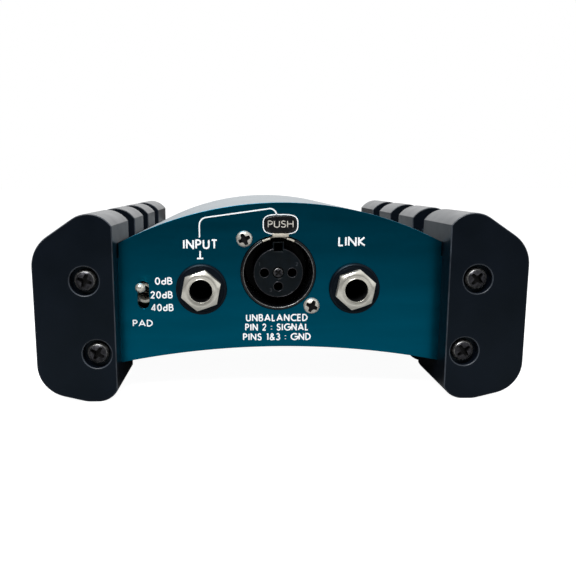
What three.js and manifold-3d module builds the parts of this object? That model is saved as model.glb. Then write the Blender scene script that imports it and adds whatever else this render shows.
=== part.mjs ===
// Direct injection box: an arched aluminium case held between two ribbed rubber bumpers.
// Millimetres, +Z up. The origin is on the floor under the middle of the box, the input
// panel faces -Y, the output panel faces +Y, and +X is to the right seen from the inputs.
import * as THREE from 'three';
import { mergeVertices } from 'three/addons/utils/BufferGeometryUtils.js';
import Module from 'manifold-3d';

const wasm = await Module();
wasm.setup();

// ---- Driving dimensions ----
const DEPTH = 132;
const FACE = DEPTH / 2;
const GAP = 0.3;

// Bumpers: corner points (x, z) and fillet radius, on the right-hand side.
const BUMPER_INNER = 47.4;
const BUMPER_OUTER = 70.2;
const BUMPER_PROFILE = [
  [BUMPER_INNER, 3.4, 0],
  [49.3, 0, 6.6],
  [56.2, 0, 8],
  [BUMPER_OUTER, 3.4, 9.5],
  [BUMPER_OUTER, 44.7, 10.5],
  [52, 57.1, 7.9],
  [BUMPER_INNER, 50.6, 0],
];
const GROOVE_FLOOR = [
  [50.6, 6, 1.5],
  [57.5, 6, 4],
  [64, 7.6, 5],
  [64, 41.5, 6],
  [54.6, 48, 3],
  [50.6, 46, 1.5],
];
const END_RIB = 27;
const MIDDLE_RIB = 19.5;
const GROOVE = (DEPTH - 2 * END_RIB - 2 * MIDDLE_RIB) / 3;
const COUNTERBORE_RADIUS = 4.15;
const COUNTERBORE_DEPTH = 3.8;
const BUMPER_SCREWS = [[55.7, 35], [52.9, 13.9]];

// Case: an extruded tube between two arcs, with a solid ear inside each bumper.
const PANEL_RECESS = 7;
const PANEL_FACE = FACE - PANEL_RECESS;
const PANEL_THICKNESS = 1.5;
const CASE_END = PANEL_FACE - PANEL_THICKNESS - GAP;
const CASE_SIDE = BUMPER_INNER - GAP;
const CASE_INSIDE = 44;
const CASE_WALL = 2;
const TOP_RADIUS = 101.4;
const TOP_HEIGHT = 56.9;
const BOTTOM_RADIUS = 247.3;
const BOTTOM_HEIGHT = 14.3;
const EAR_SIDE = 60;
const EAR_TOP = 41;
const PORT_RADIUS = 1.5;

// Circuit board, which slides in slots of the case.
const BOARD_TOP = 22.2;
const BOARD_THICKNESS = 1.6;
const BOARD_HALF_WIDTH = 44.7;
const BOARD_HALF_DEPTH = 56.5;

// Input panel.
const INPUT_XLR = [-0.75, 36.5];
const JACK_HEIGHT = 31.7;
const INPUT_JACK_X = -23.25;
const LINK_JACK_X = 21.7;
const PAD_SWITCH = [-40.3, 30.1];
const XLR_SCREW_OFFSET = 9.9;
const TAB = { x: 0.6, z: 14.1, width: 9.3, height: 4.8 };
const TONGUE = 2.35;

// Output panel, in its own frame: +X to the right seen from the outputs.
const OUTPUT_XLR = [-26.5, 33.5];
const GROUND_SWITCH = [-9, 31];
const POWER_SWITCH = [-1, 31];
const LED = [-5, 42.5];
const DRAWER = { x: 22.5, z: 34.3, width: 31.4, height: 20.2, depth: 54, wall: 1.3 };

// Toggle levers: the pivot is behind the panel, and the lever leans to one end of its slot.
const PIVOT_DEPTH = 8;
const LEVER_LENGTH = 13.6;
const LEVER_LEAN = THREE.MathUtils.degToRad(12.5);
const SLOT_WIDTH = 3.4;
const SLOT_HEIGHT = 8.2;

const FINE = 32;
const COARSE = 12;

// ---- Solids from three.js geometry ----
function signedVolume(position, index) {
  const [a, b, c] = [new THREE.Vector3(), new THREE.Vector3(), new THREE.Vector3()];
  let sum = 0;
  for (let i = 0; i < index.length; i += 3) {
    a.fromBufferAttribute(position, index[i]);
    b.fromBufferAttribute(position, index[i + 1]);
    c.fromBufferAttribute(position, index[i + 2]);
    sum += a.dot(b.cross(c));
  }
  return sum / 6;
}

// Merges shared corners, drops empty triangles and turns every face outwards.
function closed(geometry) {
  const bare = new THREE.BufferGeometry();
  bare.setAttribute('position', geometry.getAttribute('position').clone());
  if (geometry.index) bare.setIndex(geometry.index.clone());
  const merged = mergeVertices(bare, 1e-4);
  const kept = [];
  for (let i = 0; i < merged.index.count; i += 3) {
    const corners = [0, 1, 2].map((k) => merged.index.getX(i + k));
    if (new Set(corners).size === 3) kept.push(...corners);
  }
  if (signedVolume(merged.getAttribute('position'), kept) < 0) kept.reverse();
  merged.setIndex(kept);
  return merged;
}

function toSolid(geometry) {
  const shape = closed(geometry);
  return new wasm.Manifold(new wasm.Mesh({
    numProp: 3,
    vertProperties: new Float32Array(shape.getAttribute('position').array),
    triVerts: new Uint32Array(shape.index.array),
  }));
}

function fromSolid(solid) {
  const mesh = solid.getMesh();
  const geometry = new THREE.BufferGeometry();
  geometry.setAttribute('position', new THREE.BufferAttribute(mesh.vertProperties, 3));
  geometry.setIndex(new THREE.BufferAttribute(mesh.triVerts, 1));
  return geometry;
}

function join(...geometries) {
  return fromSolid(geometries.map(toSolid).reduce((whole, next) => whole.add(next)));
}

function cut(base, ...tools) {
  return fromSolid(tools.map(toSolid).reduce((whole, tool) => whole.subtract(tool), toSolid(base)));
}

function common(first, second) {
  return fromSolid(toSolid(first).intersect(toSolid(second)));
}

// ---- Shapes ----
// A closed outline from corner points, each rounded by its own fillet radius.
function outline(corners) {
  const shape = new THREE.Shape();
  const points = corners.map(([x, z]) => new THREE.Vector2(x, z));
  corners.forEach(([, , radius], i) => {
    const here = points[i];
    const before = points.at(i - 1).clone().sub(here).normalize();
    const after = points[(i + 1) % points.length].clone().sub(here).normalize();
    const half = Math.acos(THREE.MathUtils.clamp(before.dot(after), -1, 1)) / 2;
    const reach = radius / Math.tan(half);
    const start = here.clone().addScaledVector(before, reach);
    const end = here.clone().addScaledVector(after, reach);
    if (i === 0) shape.moveTo(start.x, start.y);
    else shape.lineTo(start.x, start.y);
    if (radius === 0) return;
    const inward = before.clone().add(after).normalize();
    const centre = here.clone().addScaledVector(inward, radius / Math.sin(half));
    const from = Math.atan2(start.y - centre.y, start.x - centre.x);
    const to = Math.atan2(end.y - centre.y, end.x - centre.x);
    shape.absarc(centre.x, centre.y, radius, from, to, before.cross(after) > 0);
  });
  return shape;
}

function rectangle(x, z, width, height, radius = 0) {
  const [w, h] = [width / 2, height / 2];
  return outline([
    [x - w, z - h, radius], [x + w, z - h, radius], [x + w, z + h, radius], [x - w, z + h, radius],
  ]);
}

// An outline in X and Z, extruded from yLow to yHigh. Points that fall together are dropped.
function prism(shape, yLow, yHigh, curveSegments = 3) {
  const tidy = (points) => points.filter((point, i) => point.distanceTo(points.at(i - 1)) > 1e-3);
  const { shape: rim, holes } = shape.extractPoints(curveSegments);
  if (THREE.ShapeUtils.isClockWise(rim)) rim.reverse();
  const polygon = new THREE.Shape(tidy(rim));
  polygon.holes = holes.map((points) => new THREE.Path(tidy(points)));
  const depth = yHigh - yLow;
  const geometry = new THREE.ExtrudeGeometry(polygon, { depth, bevelEnabled: false });
  geometry.rotateX(Math.PI / 2);
  return geometry.translate(0, yHigh, 0);
}

// An outline in Y and Z, extruded to both sides of x = 0.
function sidePrism(points, width) {
  const shape = new THREE.Shape(points.map(([y, z]) => new THREE.Vector2(y, z)));
  const geometry = new THREE.ExtrudeGeometry(shape, { depth: width, bevelEnabled: false });
  geometry.translate(0, 0, -width / 2);
  const turn = new THREE.Matrix4().makeBasis(
    new THREE.Vector3(0, 1, 0), new THREE.Vector3(0, 0, 1), new THREE.Vector3(1, 0, 0),
  );
  return geometry.applyMatrix4(turn);
}

function block([xLow, xHigh], [yLow, yHigh], [zLow, zHigh]) {
  const geometry = new THREE.BoxGeometry(xHigh - xLow, yHigh - yLow, zHigh - zLow);
  return geometry.translate((xLow + xHigh) / 2, (yLow + yHigh) / 2, (zLow + zHigh) / 2);
}

// A profile of [radius, y] points turned about the Y axis.
function turned(profile, sides = COARSE) {
  const points = profile.map(([radius, y]) => new THREE.Vector2(radius, y));
  return closed(new THREE.LatheGeometry(points, sides));
}

function rod(radius, yLow, yHigh, x = 0, z = 0, sides = COARSE) {
  const geometry = new THREE.CylinderGeometry(radius, radius, yHigh - yLow, sides);
  return geometry.translate(x, (yLow + yHigh) / 2, z);
}

function tube(outer, inner, yLow, yHigh, sides = COARSE) {
  return turned([[inner, yLow], [outer, yLow], [outer, yHigh], [inner, yHigh], [inner, yLow]], sides);
}

// ---- The object ----
const box = new THREE.Group();

function place(parent, name, geometry, { color, roughness = 0.5, metalness = 0 }) {
  const material = new THREE.MeshStandardMaterial({ color, roughness, metalness });
  const mesh = new THREE.Mesh(closed(geometry), material);
  mesh.name = name;
  parent.add(mesh);
  return mesh;
}

const RUBBER = { color: 0x15181d, roughness: 0.75 };
const PETROL = { color: 0x02394a, roughness: 0.45, metalness: 0.3 };
const BLACK_PLASTIC = { color: 0x14161a, roughness: 0.5 };
const BLACK_STEEL = { color: 0x1b1c1f, roughness: 0.4, metalness: 0.8 };
const BRIGHT_STEEL = { color: 0xc8c8c4, roughness: 0.25, metalness: 1 };
const GOLD = { color: 0xc9a545, roughness: 0.3, metalness: 1 };
const COPPER = { color: 0x9a5a2c, roughness: 0.4, metalness: 0.7 };
const BOARD_GREEN = { color: 0x14502c, roughness: 0.5 };
const IRON = { color: 0x565a5e, metalness: 0.8 };
const BLUE_SLEEVE = { color: 0x1d2b4a };
const BATTERY_SKIN = { color: 0x3a3d42, roughness: 0.35, metalness: 0.4 };
const RED_LENS = { color: 0xb01818, roughness: 0.2 };

// ---- Case ----
function arcHeight(radius, height, x) {
  return height - radius + Math.sqrt(radius ** 2 - x ** 2);
}

function addArc(path, radius, height, halfWidth, leftToRight) {
  const span = Math.asin(halfWidth / radius);
  const [left, right] = [Math.PI / 2 + span, Math.PI / 2 - span];
  if (leftToRight) path.absarc(0, height - radius, radius, left, right, true);
  else path.absarc(0, height - radius, radius, right, left, false);
}

function caseOutline() {
  const shape = new THREE.Shape();
  const earBottom = arcHeight(BOTTOM_RADIUS, BOTTOM_HEIGHT, CASE_SIDE);
  shape.moveTo(-CASE_SIDE, EAR_TOP);
  shape.lineTo(-CASE_SIDE, arcHeight(TOP_RADIUS, TOP_HEIGHT, CASE_SIDE));
  addArc(shape, TOP_RADIUS, TOP_HEIGHT, CASE_SIDE, true);
  shape.lineTo(CASE_SIDE, EAR_TOP);
  shape.lineTo(EAR_SIDE, EAR_TOP);
  shape.lineTo(EAR_SIDE, earBottom);
  shape.lineTo(CASE_SIDE, earBottom);
  addArc(shape, BOTTOM_RADIUS, BOTTOM_HEIGHT, CASE_SIDE, false);
  shape.lineTo(-EAR_SIDE, earBottom);
  shape.lineTo(-EAR_SIDE, EAR_TOP);
  return shape;
}

function bumperScrewPlaces() {
  return [-1, 1].flatMap((side) => BUMPER_SCREWS.map(([x, z]) => [side * x, z]));
}

function circlePath(x, z, radius) {
  return new THREE.Path().absarc(x, z, radius, 0, 2 * Math.PI, false);
}

function caseSleeve() {
  const shape = caseOutline();
  const inside = new THREE.Path();
  addArc(inside, TOP_RADIUS - CASE_WALL, TOP_HEIGHT - CASE_WALL, CASE_INSIDE, true);
  addArc(inside, BOTTOM_RADIUS + CASE_WALL, BOTTOM_HEIGHT + CASE_WALL, CASE_INSIDE, false);
  shape.holes.push(inside);
  bumperScrewPlaces().forEach(([x, z]) => shape.holes.push(circlePath(x, z, PORT_RADIUS)));
  [-1, 1].forEach((side) => {
    const chamber = rectangle(side * 53.5, 24.2, 9, 10.5, 1);
    shape.holes.push(new THREE.Path(chamber.getPoints(3)));
  });
  const boardSlots = block(
    [-BOARD_HALF_WIDTH - GAP, BOARD_HALF_WIDTH + GAP],
    [-FACE, FACE],
    [BOARD_TOP - BOARD_THICKNESS - GAP, BOARD_TOP + GAP],
  );
  return cut(prism(shape, -CASE_END, CASE_END, 8), boardSlots);
}

function panelBlank() {
  const shape = caseOutline();
  bumperScrewPlaces().forEach(([x, z]) => shape.holes.push(circlePath(x, z, PORT_RADIUS)));
  return prism(shape, 0, PANEL_THICKNESS, 8);
}

// Holes are cut right through the plate, whose outer face is at y = 0.
function hole(radius, x, z, sides = COARSE) {
  return rod(radius, -1, PANEL_THICKNESS + 1, x, z, sides);
}

function windowHole(x, z, width, height, radius) {
  return prism(rectangle(x, z, width, height, radius), -1, PANEL_THICKNESS + 1);
}

function toggleSlot([x, z]) {
  return windowHole(x, z, SLOT_WIDTH, SLOT_HEIGHT, SLOT_WIDTH / 2 - 0.01);
}

function xlrHoles([x, z], radius) {
  return [
    hole(radius, x, z, FINE),
    hole(1.5, x - XLR_SCREW_OFFSET, z + XLR_SCREW_OFFSET),
    hole(1.5, x + XLR_SCREW_OFFSET, z - XLR_SCREW_OFFSET),
  ];
}

// ---- Bumpers ----
function bumper(side) {
  const profile = outline(BUMPER_PROFILE);
  const around = rectangle(59, 28, 60, 90);
  around.holes.push(new THREE.Path(outline(GROOVE_FLOOR).getPoints(2)));
  const grooveStarts = [
    -FACE + END_RIB,
    -FACE + END_RIB + GROOVE + MIDDLE_RIB,
    FACE - END_RIB - GROOVE,
  ];
  const grooves = grooveStarts.map((y) => prism(around, y, y + GROOVE));
  const pocketEnd = PANEL_FACE + GAP;
  const pocketBottom = arcHeight(BOTTOM_RADIUS, BOTTOM_HEIGHT, CASE_SIDE) - GAP;
  const pocket = block(
    [BUMPER_INNER - 1, EAR_SIDE + GAP],
    [-pocketEnd, pocketEnd],
    [pocketBottom, EAR_TOP + GAP],
  );
  const screwHoles = BUMPER_SCREWS.flatMap(([x, z]) => [
    rod(PORT_RADIUS, -FACE - 1, FACE + 1, x, z),
    rod(COUNTERBORE_RADIUS, -FACE - 1, -FACE + COUNTERBORE_DEPTH, x, z, 20),
    rod(COUNTERBORE_RADIUS, FACE - COUNTERBORE_DEPTH, FACE + 1, x, z, 20),
  ]);
  const body = cut(prism(profile, -FACE, FACE), ...grooves, pocket, ...screwHoles);
  return body.scale(side, 1, 1);
}

// ---- Screws ----
// A pan-head screw with a cross recess: the head's seat is at y = 0 and the head is at -Y.
function screw(headRadius, headHeight, shankRadius, shankLength) {
  const whole = turned([
    [0, -headHeight],
    [0.7 * headRadius, -headHeight],
    [headRadius, -0.45 * headHeight],
    [headRadius, 0],
    [shankRadius, 0],
    [shankRadius, shankLength],
    [0, shankLength],
  ]);
  const arm = 0.58 * headRadius;
  const half = 0.13 * headRadius;
  const recess = [-headHeight - 1, -0.45 * headHeight];
  return cut(whole, block([-arm, arm], recess, [-half, half]), block([-half, half], recess, [-arm, arm]));
}

// ---- Parts of the two panels ----
// Each panel has a group whose y = 0 is the panel's outer face, with -Y towards the user.
const inputSide = new THREE.Group();
inputSide.position.y = -PANEL_FACE;
const outputSide = new THREE.Group();
outputSide.position.y = PANEL_FACE;
outputSide.rotation.z = Math.PI;
box.add(inputSide, outputSide);

function groupAt(parent, [x, z]) {
  const group = new THREE.Group();
  group.position.set(x, 0, z);
  parent.add(group);
  return group;
}

const BEHIND = PANEL_THICKNESS + GAP;

function xlrScrews(parent, prefix) {
  [-1, 1].forEach((side, i) => {
    const mesh = place(parent, `${prefix}_screw_${i + 1}`, screw(2.4, 1.4, 1.2, 6), BRIGHT_STEEL);
    mesh.position.set(side * XLR_SCREW_OFFSET, -0.1, -side * XLR_SCREW_OFFSET);
  });
}

// Where the three contacts lie about the connector's axis.
const CONTACT_RADIUS = 4.05;
const CONTACTS = [[-CONTACT_RADIUS, 0], [CONTACT_RADIUS, 0], [0, -CONTACT_RADIUS]];

function inputXlr() {
  const xlr = groupAt(inputSide, INPUT_XLR);
  const [bore, rim, barrel, length] = [9.9, 10.9, 12, 19];
  const flange = prism(rectangle(0, 1.3, 26, 29.8, 2), BEHIND, BEHIND + 2.5);
  const latchSlot = block([-5.4, 5.4], [-5, length - 4], [9, 20]);
  const mountHoles = [-1, 1].map((side) => (
    rod(1.5, 0, 9, side * XLR_SCREW_OFFSET, -side * XLR_SCREW_OFFSET)
  ));
  const shell = join(rod(rim, -1, length, 0, 0, FINE), rod(barrel, BEHIND, length, 0, 0, FINE), flange);
  const boreTool = rod(bore, -3, length + 1, 0, 0, FINE);
  place(xlr, 'input_xlr_housing', cut(shell, boreTool, latchSlot, ...mountHoles), BLACK_PLASTIC);

  const insertFace = -0.6;
  const insertBlank = turned([
    [0, insertFace], [7.2, insertFace], [7.2, 14.5], [9.6, 14.5], [9.6, 19], [0, 19],
  ], FINE);
  const keyway = block([-1.45, 1.45], [-1, 13], [6, 8]);
  const holes = CONTACTS.map(([x, z]) => rod(1.3, -1, 20, x, z));
  const screwSeat = rod(1.75, -1, insertFace + 1.2);
  const screwHole = rod(1.0, -1, 12);
  const insert = cut(insertBlank, keyway, screwSeat, screwHole, ...holes);
  place(xlr, 'input_xlr_insert', insert, BLACK_PLASTIC);
  place(xlr, 'input_xlr_insert_screw', screw(1.4, 0.7, 0.7, 8), BLACK_STEEL).position.y = insertFace + 0.9;

  CONTACTS.forEach(([x, z], i) => {
    const socket = turned([
      [0, 14], [0.7, 14], [0.7, 7], [1, 7], [1, 20], [0.5, 20], [0.5, 24], [0, 24],
    ]);
    place(xlr, `input_xlr_contact_${i + 1}`, socket, GOLD).position.set(x, 0, z);
  });

  const tab = prism(rectangle(TAB.x, TAB.z, TAB.width, TAB.height, 2.1), -0.4, 4.5);
  place(xlr, 'input_xlr_push_tab', tab, BLACK_PLASTIC);
  const latch = join(
    block([-4.9, 4.9], [-0.9, 9], [9.1, 9.75]),
    block([TAB.x - TONGUE, TAB.x + TONGUE], [-0.9, 6.4], [9.1, 11.4]),
    block([TAB.x - TONGUE, TAB.x + TONGUE], [5, 6.2], [9.1, 16]),
  );
  place(xlr, 'input_xlr_latch', latch, BRIGHT_STEEL);
  xlrScrews(xlr, 'input_xlr');
}

function jack(prefix, x) {
  const group = groupAt(inputSide, [x, JACK_HEIGHT]);
  const [bore, nutFace, bushEnd, bodyEnd] = [3.3, -4, 9, 26];
  const washer = turned([
    [4.9, -1.1], [6.6, -1.1], [7.5, -0.6], [7.5, -0.1], [4.9, -0.1], [4.9, -1.1],
  ], FINE);
  place(group, `${prefix}_washer`, washer, BLACK_PLASTIC);

  const hexagon = new THREE.CylinderGeometry(6.06, 6.06, 2.7, 6).translate(0, -2.65, 0);
  const chamfer = turned([[0, nutFace], [5, nutFace], [6.2, -3.2], [6.2, -1.3], [0, -1.3]], FINE);
  const nut = cut(common(hexagon, chamfer), rod(bore, -5, 0, 0, 0, 24), rod(4.9, -3.2, 0, 0, 0, 24));
  place(group, `${prefix}_nut`, nut, BRIGHT_STEEL).rotation.y = THREE.MathUtils.degToRad(6.5);

  place(group, `${prefix}_bush`, tube(4.5, bore, -2.9, bushEnd, 24), BRIGHT_STEEL);

  const bodyBlank = block([-7.8, 7.8], [BEHIND, bodyEnd], [-9.1, 9.1]);
  const springSlot = block([-2.4, 2.4], [10, bodyEnd - 3], [0, 8]);
  const bushHole = rod(4.8, 0, bushEnd + GAP, 0, 0, 24);
  const plugHole = rod(bore + 0.2, 0, bodyEnd - 2, 0, 0, 24);
  place(group, `${prefix}_body`, cut(bodyBlank, springSlot, bushHole, plugHole), BLACK_PLASTIC);

  const springLine = [[11, 7], [11, 6.6], [19.5, 2.9], [21.5, 4.4], [21.2, 4.7], [19.4, 3.4], [12, 7]];
  place(group, `${prefix}_tip_spring`, sidePrism(springLine, 3.6), BRIGHT_STEEL);
}

function toggleSwitch(parent, prefix, centre, leanDirection) {
  const group = groupAt(parent, centre);
  const [neck, ball, mouth, seat] = [0.65, 1.4, 2.0, 1.7];
  const bushingFront = 3.1;
  const bushingBack = PIVOT_DEPTH + 1.5;
  const bushing = turned([
    [mouth, bushingFront], [mouth + 0.5, bushingFront], [3.2, bushingFront + 0.6], [3.2, bushingBack],
    [seat, bushingBack], [seat, PIVOT_DEPTH - 1], [mouth, bushingFront],
  ]);
  place(group, `${prefix}_bushing`, bushing, BRIGHT_STEEL);
  const body = block([-3.3, 3.3], [bushingBack + GAP, bushingBack + 10], [-6.3, 6.3]);
  place(group, `${prefix}_body`, body, BLACK_PLASTIC);

  // The lever's own axis is Y, with its pivot at the origin and its tip at -Y.
  const arc = (radius, centreY, from, to, steps) => Array.from({ length: steps + 1 }, (_, i) => {
    const angle = THREE.MathUtils.degToRad(from + ((to - from) * i) / steps);
    return [radius * Math.cos(angle), centreY + radius * Math.sin(angle)];
  });
  const profile = [
    [0, -LEVER_LENGTH - ball],
    ...arc(ball, -LEVER_LENGTH, -60, 40, 3),
    [neck, -4.5],
    [neck, -1],
    ...arc(1.2, 0, -50, 60, 3),
    [0, 1.2],
  ];
  const lever = place(group, `${prefix}_lever`, turned(profile, 12), BRIGHT_STEEL);
  lever.position.y = PIVOT_DEPTH;
  lever.rotation.x = -leanDirection * LEVER_LEAN;
}

function outputXlr() {
  const xlr = groupAt(outputSide, OUTPUT_XLR);
  const [cup, rim, barrel, length] = [9.4, 10.9, 11.6, 17];
  const flange = prism(rectangle(0, 0, 26, 21.4, 2), BEHIND, BEHIND + 2.5);
  const mountHoles = [-1, 1].map((side) => (
    rod(1.5, 0, 9, side * XLR_SCREW_OFFSET, -side * XLR_SCREW_OFFSET)
  ));
  const shell = join(
    rod(rim, -1.2, length, 0, 0, FINE),
    common(rod(barrel, BEHIND, length, 0, 0, FINE), block([-13, 13], [0, 20], [-10.7, 10.7])),
    flange,
  );
  const cupTool = rod(cup, -3, length + 1, 0, 0, FINE);
  place(xlr, 'output_xlr_shell', cut(shell, cupTool, ...mountHoles), BLACK_STEEL);
  const pins = CONTACTS.map(([x, z]) => [x, -z]);
  const base = cut(rod(cup - GAP, 13, 17, 0, 0, FINE), ...pins.map(([x, z]) => rod(1.5, 12, 18, x, z)));
  place(xlr, 'output_xlr_insert', base, BLACK_PLASTIC);
  pins.forEach(([x, z], i) => {
    const pin = turned([[0, 0.6], [0.7, 0.8], [1.2, 1.8], [1.2, 17.5], [0.5, 17.5], [0.5, 22], [0, 22]]);
    place(xlr, `output_xlr_pin_${i + 1}`, pin, GOLD).position.set(x, 0, z);
  });
  xlrScrews(xlr, 'output_xlr');
}

function powerLed() {
  const group = groupAt(outputSide, LED);
  const lens = turned([
    [0, -1.8], [1.3, -1.4], [2.2, -0.4], [2.4, 0.6], [2.4, BEHIND], [3, BEHIND], [3, 2.8], [0, 2.8],
  ]);
  place(group, 'power_led', lens, RED_LENS);
}

function batteryCompartment() {
  const group = groupAt(outputSide, [DRAWER.x, DRAWER.z]);
  const [w, h, wall] = [DRAWER.width / 2, DRAWER.height / 2, DRAWER.wall];
  const face = prism(rectangle(0, 0, DRAWER.width + 3, DRAWER.height + 3, 2), -2.2, -GAP);
  const grip = block([-8, 8], [-4.2, -2], [-1, 1]);
  const tray = block([-w, w], [-GAP - 0.1, DRAWER.depth], [-h, h]);
  const hollow = block([-w + wall, w - wall], [1.2, DRAWER.depth - wall], [-h + wall, h + 1]);
  const contactSlot = block([-11, 11], [DRAWER.depth - 3, DRAWER.depth + 1], [-h + wall, h + 1]);
  const drawer = join(face, grip, cut(tray, hollow, contactSlot));
  place(group, 'battery_drawer', drawer, BLACK_PLASTIC);

  const batteryEnd = 48;
  const batteryBody = prism(rectangle(0, 0, 26.4, 17.4, 1.6), 2, batteryEnd);
  const studs = [[-6.35, 2.9], [6.35, 4.2]].map(([x, radius]) => (
    rod(radius, batteryEnd - 1, batteryEnd + 2.6, x, 0, 12)
  ));
  place(group, 'battery', join(batteryBody, ...studs), BATTERY_SKIN);

  const bayWall = 1.2;
  const bayHalf = w + 0.4;
  const [bayFront, bayBack, bayTop] = [BEHIND, DRAWER.depth + 4.5, 10.4];
  const bayFloor = -h - 0.4;
  const bayOuter = bayHalf + bayWall;
  const outer = block([-bayOuter, bayOuter], [bayFront, bayBack], [bayFloor - bayWall, bayTop]);
  const inner = block([-bayHalf, bayHalf], [0, bayBack - bayWall], [bayFloor, bayTop + 1]);
  place(group, 'battery_bay', cut(outer, inner), BLACK_PLASTIC);

  const contactPlate = join(
    block([-10, 10], [DRAWER.depth + 1.4, DRAWER.depth + 2.6], [-5, 5]),
    block([-9, -4], [DRAWER.depth - 2.6, DRAWER.depth + 2], [-2.4, 2.4]),
    block([4, 9], [DRAWER.depth - 2.6, DRAWER.depth + 2], [-2.4, 2.4]),
  );
  place(group, 'battery_contacts', contactPlate, BRIGHT_STEEL);
}

// ---- Inside ----
function circuitBoard() {
  const blank = block(
    [-BOARD_HALF_WIDTH, BOARD_HALF_WIDTH],
    [-BOARD_HALF_DEPTH, BOARD_HALF_DEPTH],
    [BOARD_TOP - BOARD_THICKNESS, BOARD_TOP],
  );
  place(box, 'circuit_board', blank, BOARD_GREEN);

  const transformer = new THREE.Group();
  transformer.position.set(23, 4, BOARD_TOP + GAP);
  box.add(transformer);
  const stack = block([-14, 14], [-5.5, 5.5], [0, 22]);
  const windows = [-6.75, 6.75].map((x) => block([x - 3.25, x + 3.25], [-9, 9], [3.5, 18.5]));
  place(transformer, 'transformer_core', cut(stack, ...windows), IRON);
  const coil = prism(rectangle(0, 11, 12.2, 14, 0), -8.5, 8.5);
  const centreLeg = block([-3.8, 3.8], [-5.8, 5.8], [0, 22]);
  place(transformer, 'transformer_winding', cut(coil, centreLeg), COPPER);

  const can = turned([[0, 0], [4, 0], [4, 1.2], [3.7, 1.6], [4, 2], [4, 12.6], [3.6, 13], [0, 13]], COARSE);
  const capacitor = place(box, 'filter_capacitor', can.rotateX(Math.PI / 2), BLUE_SLEEVE);
  capacitor.position.set(9, -22, BOARD_TOP + GAP);

  const legs = [-1, 1].flatMap((side) => [-3.81, -1.27, 1.27, 3.81].map((y) => (
    block([side * 3.7 - 0.35, side * 3.7 + 0.35], [y - 0.25, y + 0.25], [0, 2.2])
  )));
  const chipBody = join(block([-3.6, 3.6], [-5, 5], [0.8, 4]), ...legs);
  const chip = place(box, 'amplifier_chip', chipBody, BLACK_PLASTIC);
  chip.position.set(-6, -20, BOARD_TOP + GAP);
}

// ---- Assembly ----
place(box, 'case_sleeve', caseSleeve(), PETROL);
place(box, 'left_bumper', bumper(-1), RUBBER);
place(box, 'right_bumper', bumper(1), RUBBER);

const frontCuts = [
  ...xlrHoles(INPUT_XLR, 11.2),
  block(
    [INPUT_XLR[0] + TAB.x - TONGUE - GAP, INPUT_XLR[0] + TAB.x + TONGUE + GAP],
    [-1, 3],
    [INPUT_XLR[1] + 9, INPUT_XLR[1] + 12.2],
  ),
  windowHole(INPUT_XLR[0] + TAB.x, INPUT_XLR[1] + TAB.z, TAB.width + 2 * GAP, TAB.height + 2 * GAP, 2.3),
  hole(4.8, INPUT_JACK_X, JACK_HEIGHT),
  hole(4.8, LINK_JACK_X, JACK_HEIGHT),
  toggleSlot(PAD_SWITCH),
];
place(inputSide, 'front_panel', cut(panelBlank(), ...frontCuts), PETROL);

const rearCuts = [
  ...xlrHoles(OUTPUT_XLR, 11.2),
  toggleSlot(GROUND_SWITCH),
  toggleSlot(POWER_SWITCH),
  hole(2.7, ...LED),
  windowHole(DRAWER.x, DRAWER.z, DRAWER.width + 2 * GAP, DRAWER.height + 2 * GAP, 0.5),
];
place(outputSide, 'rear_panel', cut(panelBlank(), ...rearCuts), PETROL);

[['front', -1], ['rear', 1]].forEach(([end, direction]) => {
  const side = new THREE.Group();
  side.position.y = direction * FACE;
  side.rotation.z = direction > 0 ? Math.PI : 0;
  box.add(side);
  bumperScrewPlaces().forEach(([x, z], i) => {
    const mesh = place(side, `${end}_bumper_screw_${i + 1}`, screw(3.2, 2, 1.2, 16), BLACK_STEEL);
    mesh.position.set(x, COUNTERBORE_DEPTH - 0.1, z);
  });
});

inputXlr();
jack('input_jack', INPUT_JACK_X);
jack('link_jack', LINK_JACK_X);
toggleSwitch(inputSide, 'pad_switch', PAD_SWITCH, 1);
outputXlr();
toggleSwitch(outputSide, 'ground_switch', GROUND_SWITCH, -1);
toggleSwitch(outputSide, 'power_switch', POWER_SWITCH, 1);
powerLed();
batteryCompartment();
circuitBoard();

export default box;
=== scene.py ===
"""Looks for the direct injection box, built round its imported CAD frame.

Helpers work in millimetres in the row frame: +X right, -Y towards the input panel's user, +Z up.
A shape on a panel is drawn with y = 0 on the panel's outer face and -Y towards the user.
"""

import math

import bmesh
import bpy
from mathutils import Matrix, Vector
from mathutils.geometry import delaunay_2d_cdt


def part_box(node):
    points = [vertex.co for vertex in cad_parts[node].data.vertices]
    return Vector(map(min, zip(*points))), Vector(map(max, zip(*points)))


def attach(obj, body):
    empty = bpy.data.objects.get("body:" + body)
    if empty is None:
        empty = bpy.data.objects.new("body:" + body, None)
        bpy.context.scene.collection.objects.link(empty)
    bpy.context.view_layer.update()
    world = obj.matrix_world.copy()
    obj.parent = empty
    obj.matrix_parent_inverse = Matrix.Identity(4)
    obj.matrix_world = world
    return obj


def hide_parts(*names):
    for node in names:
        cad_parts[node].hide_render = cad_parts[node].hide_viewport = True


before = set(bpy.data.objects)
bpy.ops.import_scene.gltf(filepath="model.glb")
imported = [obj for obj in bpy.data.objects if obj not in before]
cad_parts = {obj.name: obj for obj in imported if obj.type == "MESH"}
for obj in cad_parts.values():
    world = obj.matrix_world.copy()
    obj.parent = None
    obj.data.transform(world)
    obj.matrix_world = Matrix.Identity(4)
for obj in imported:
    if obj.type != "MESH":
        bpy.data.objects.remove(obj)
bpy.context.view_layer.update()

MM = 0.001
CLOSE = 1e-4  # mm; stroke ends nearer than this are one point


# ---- Measures taken from the CAD nodes ----
def low(node):
    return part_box(node)[0] / MM


def high(node):
    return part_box(node)[1] / MM


def middle(node):
    return (low(node) + high(node)) / 2


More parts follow.
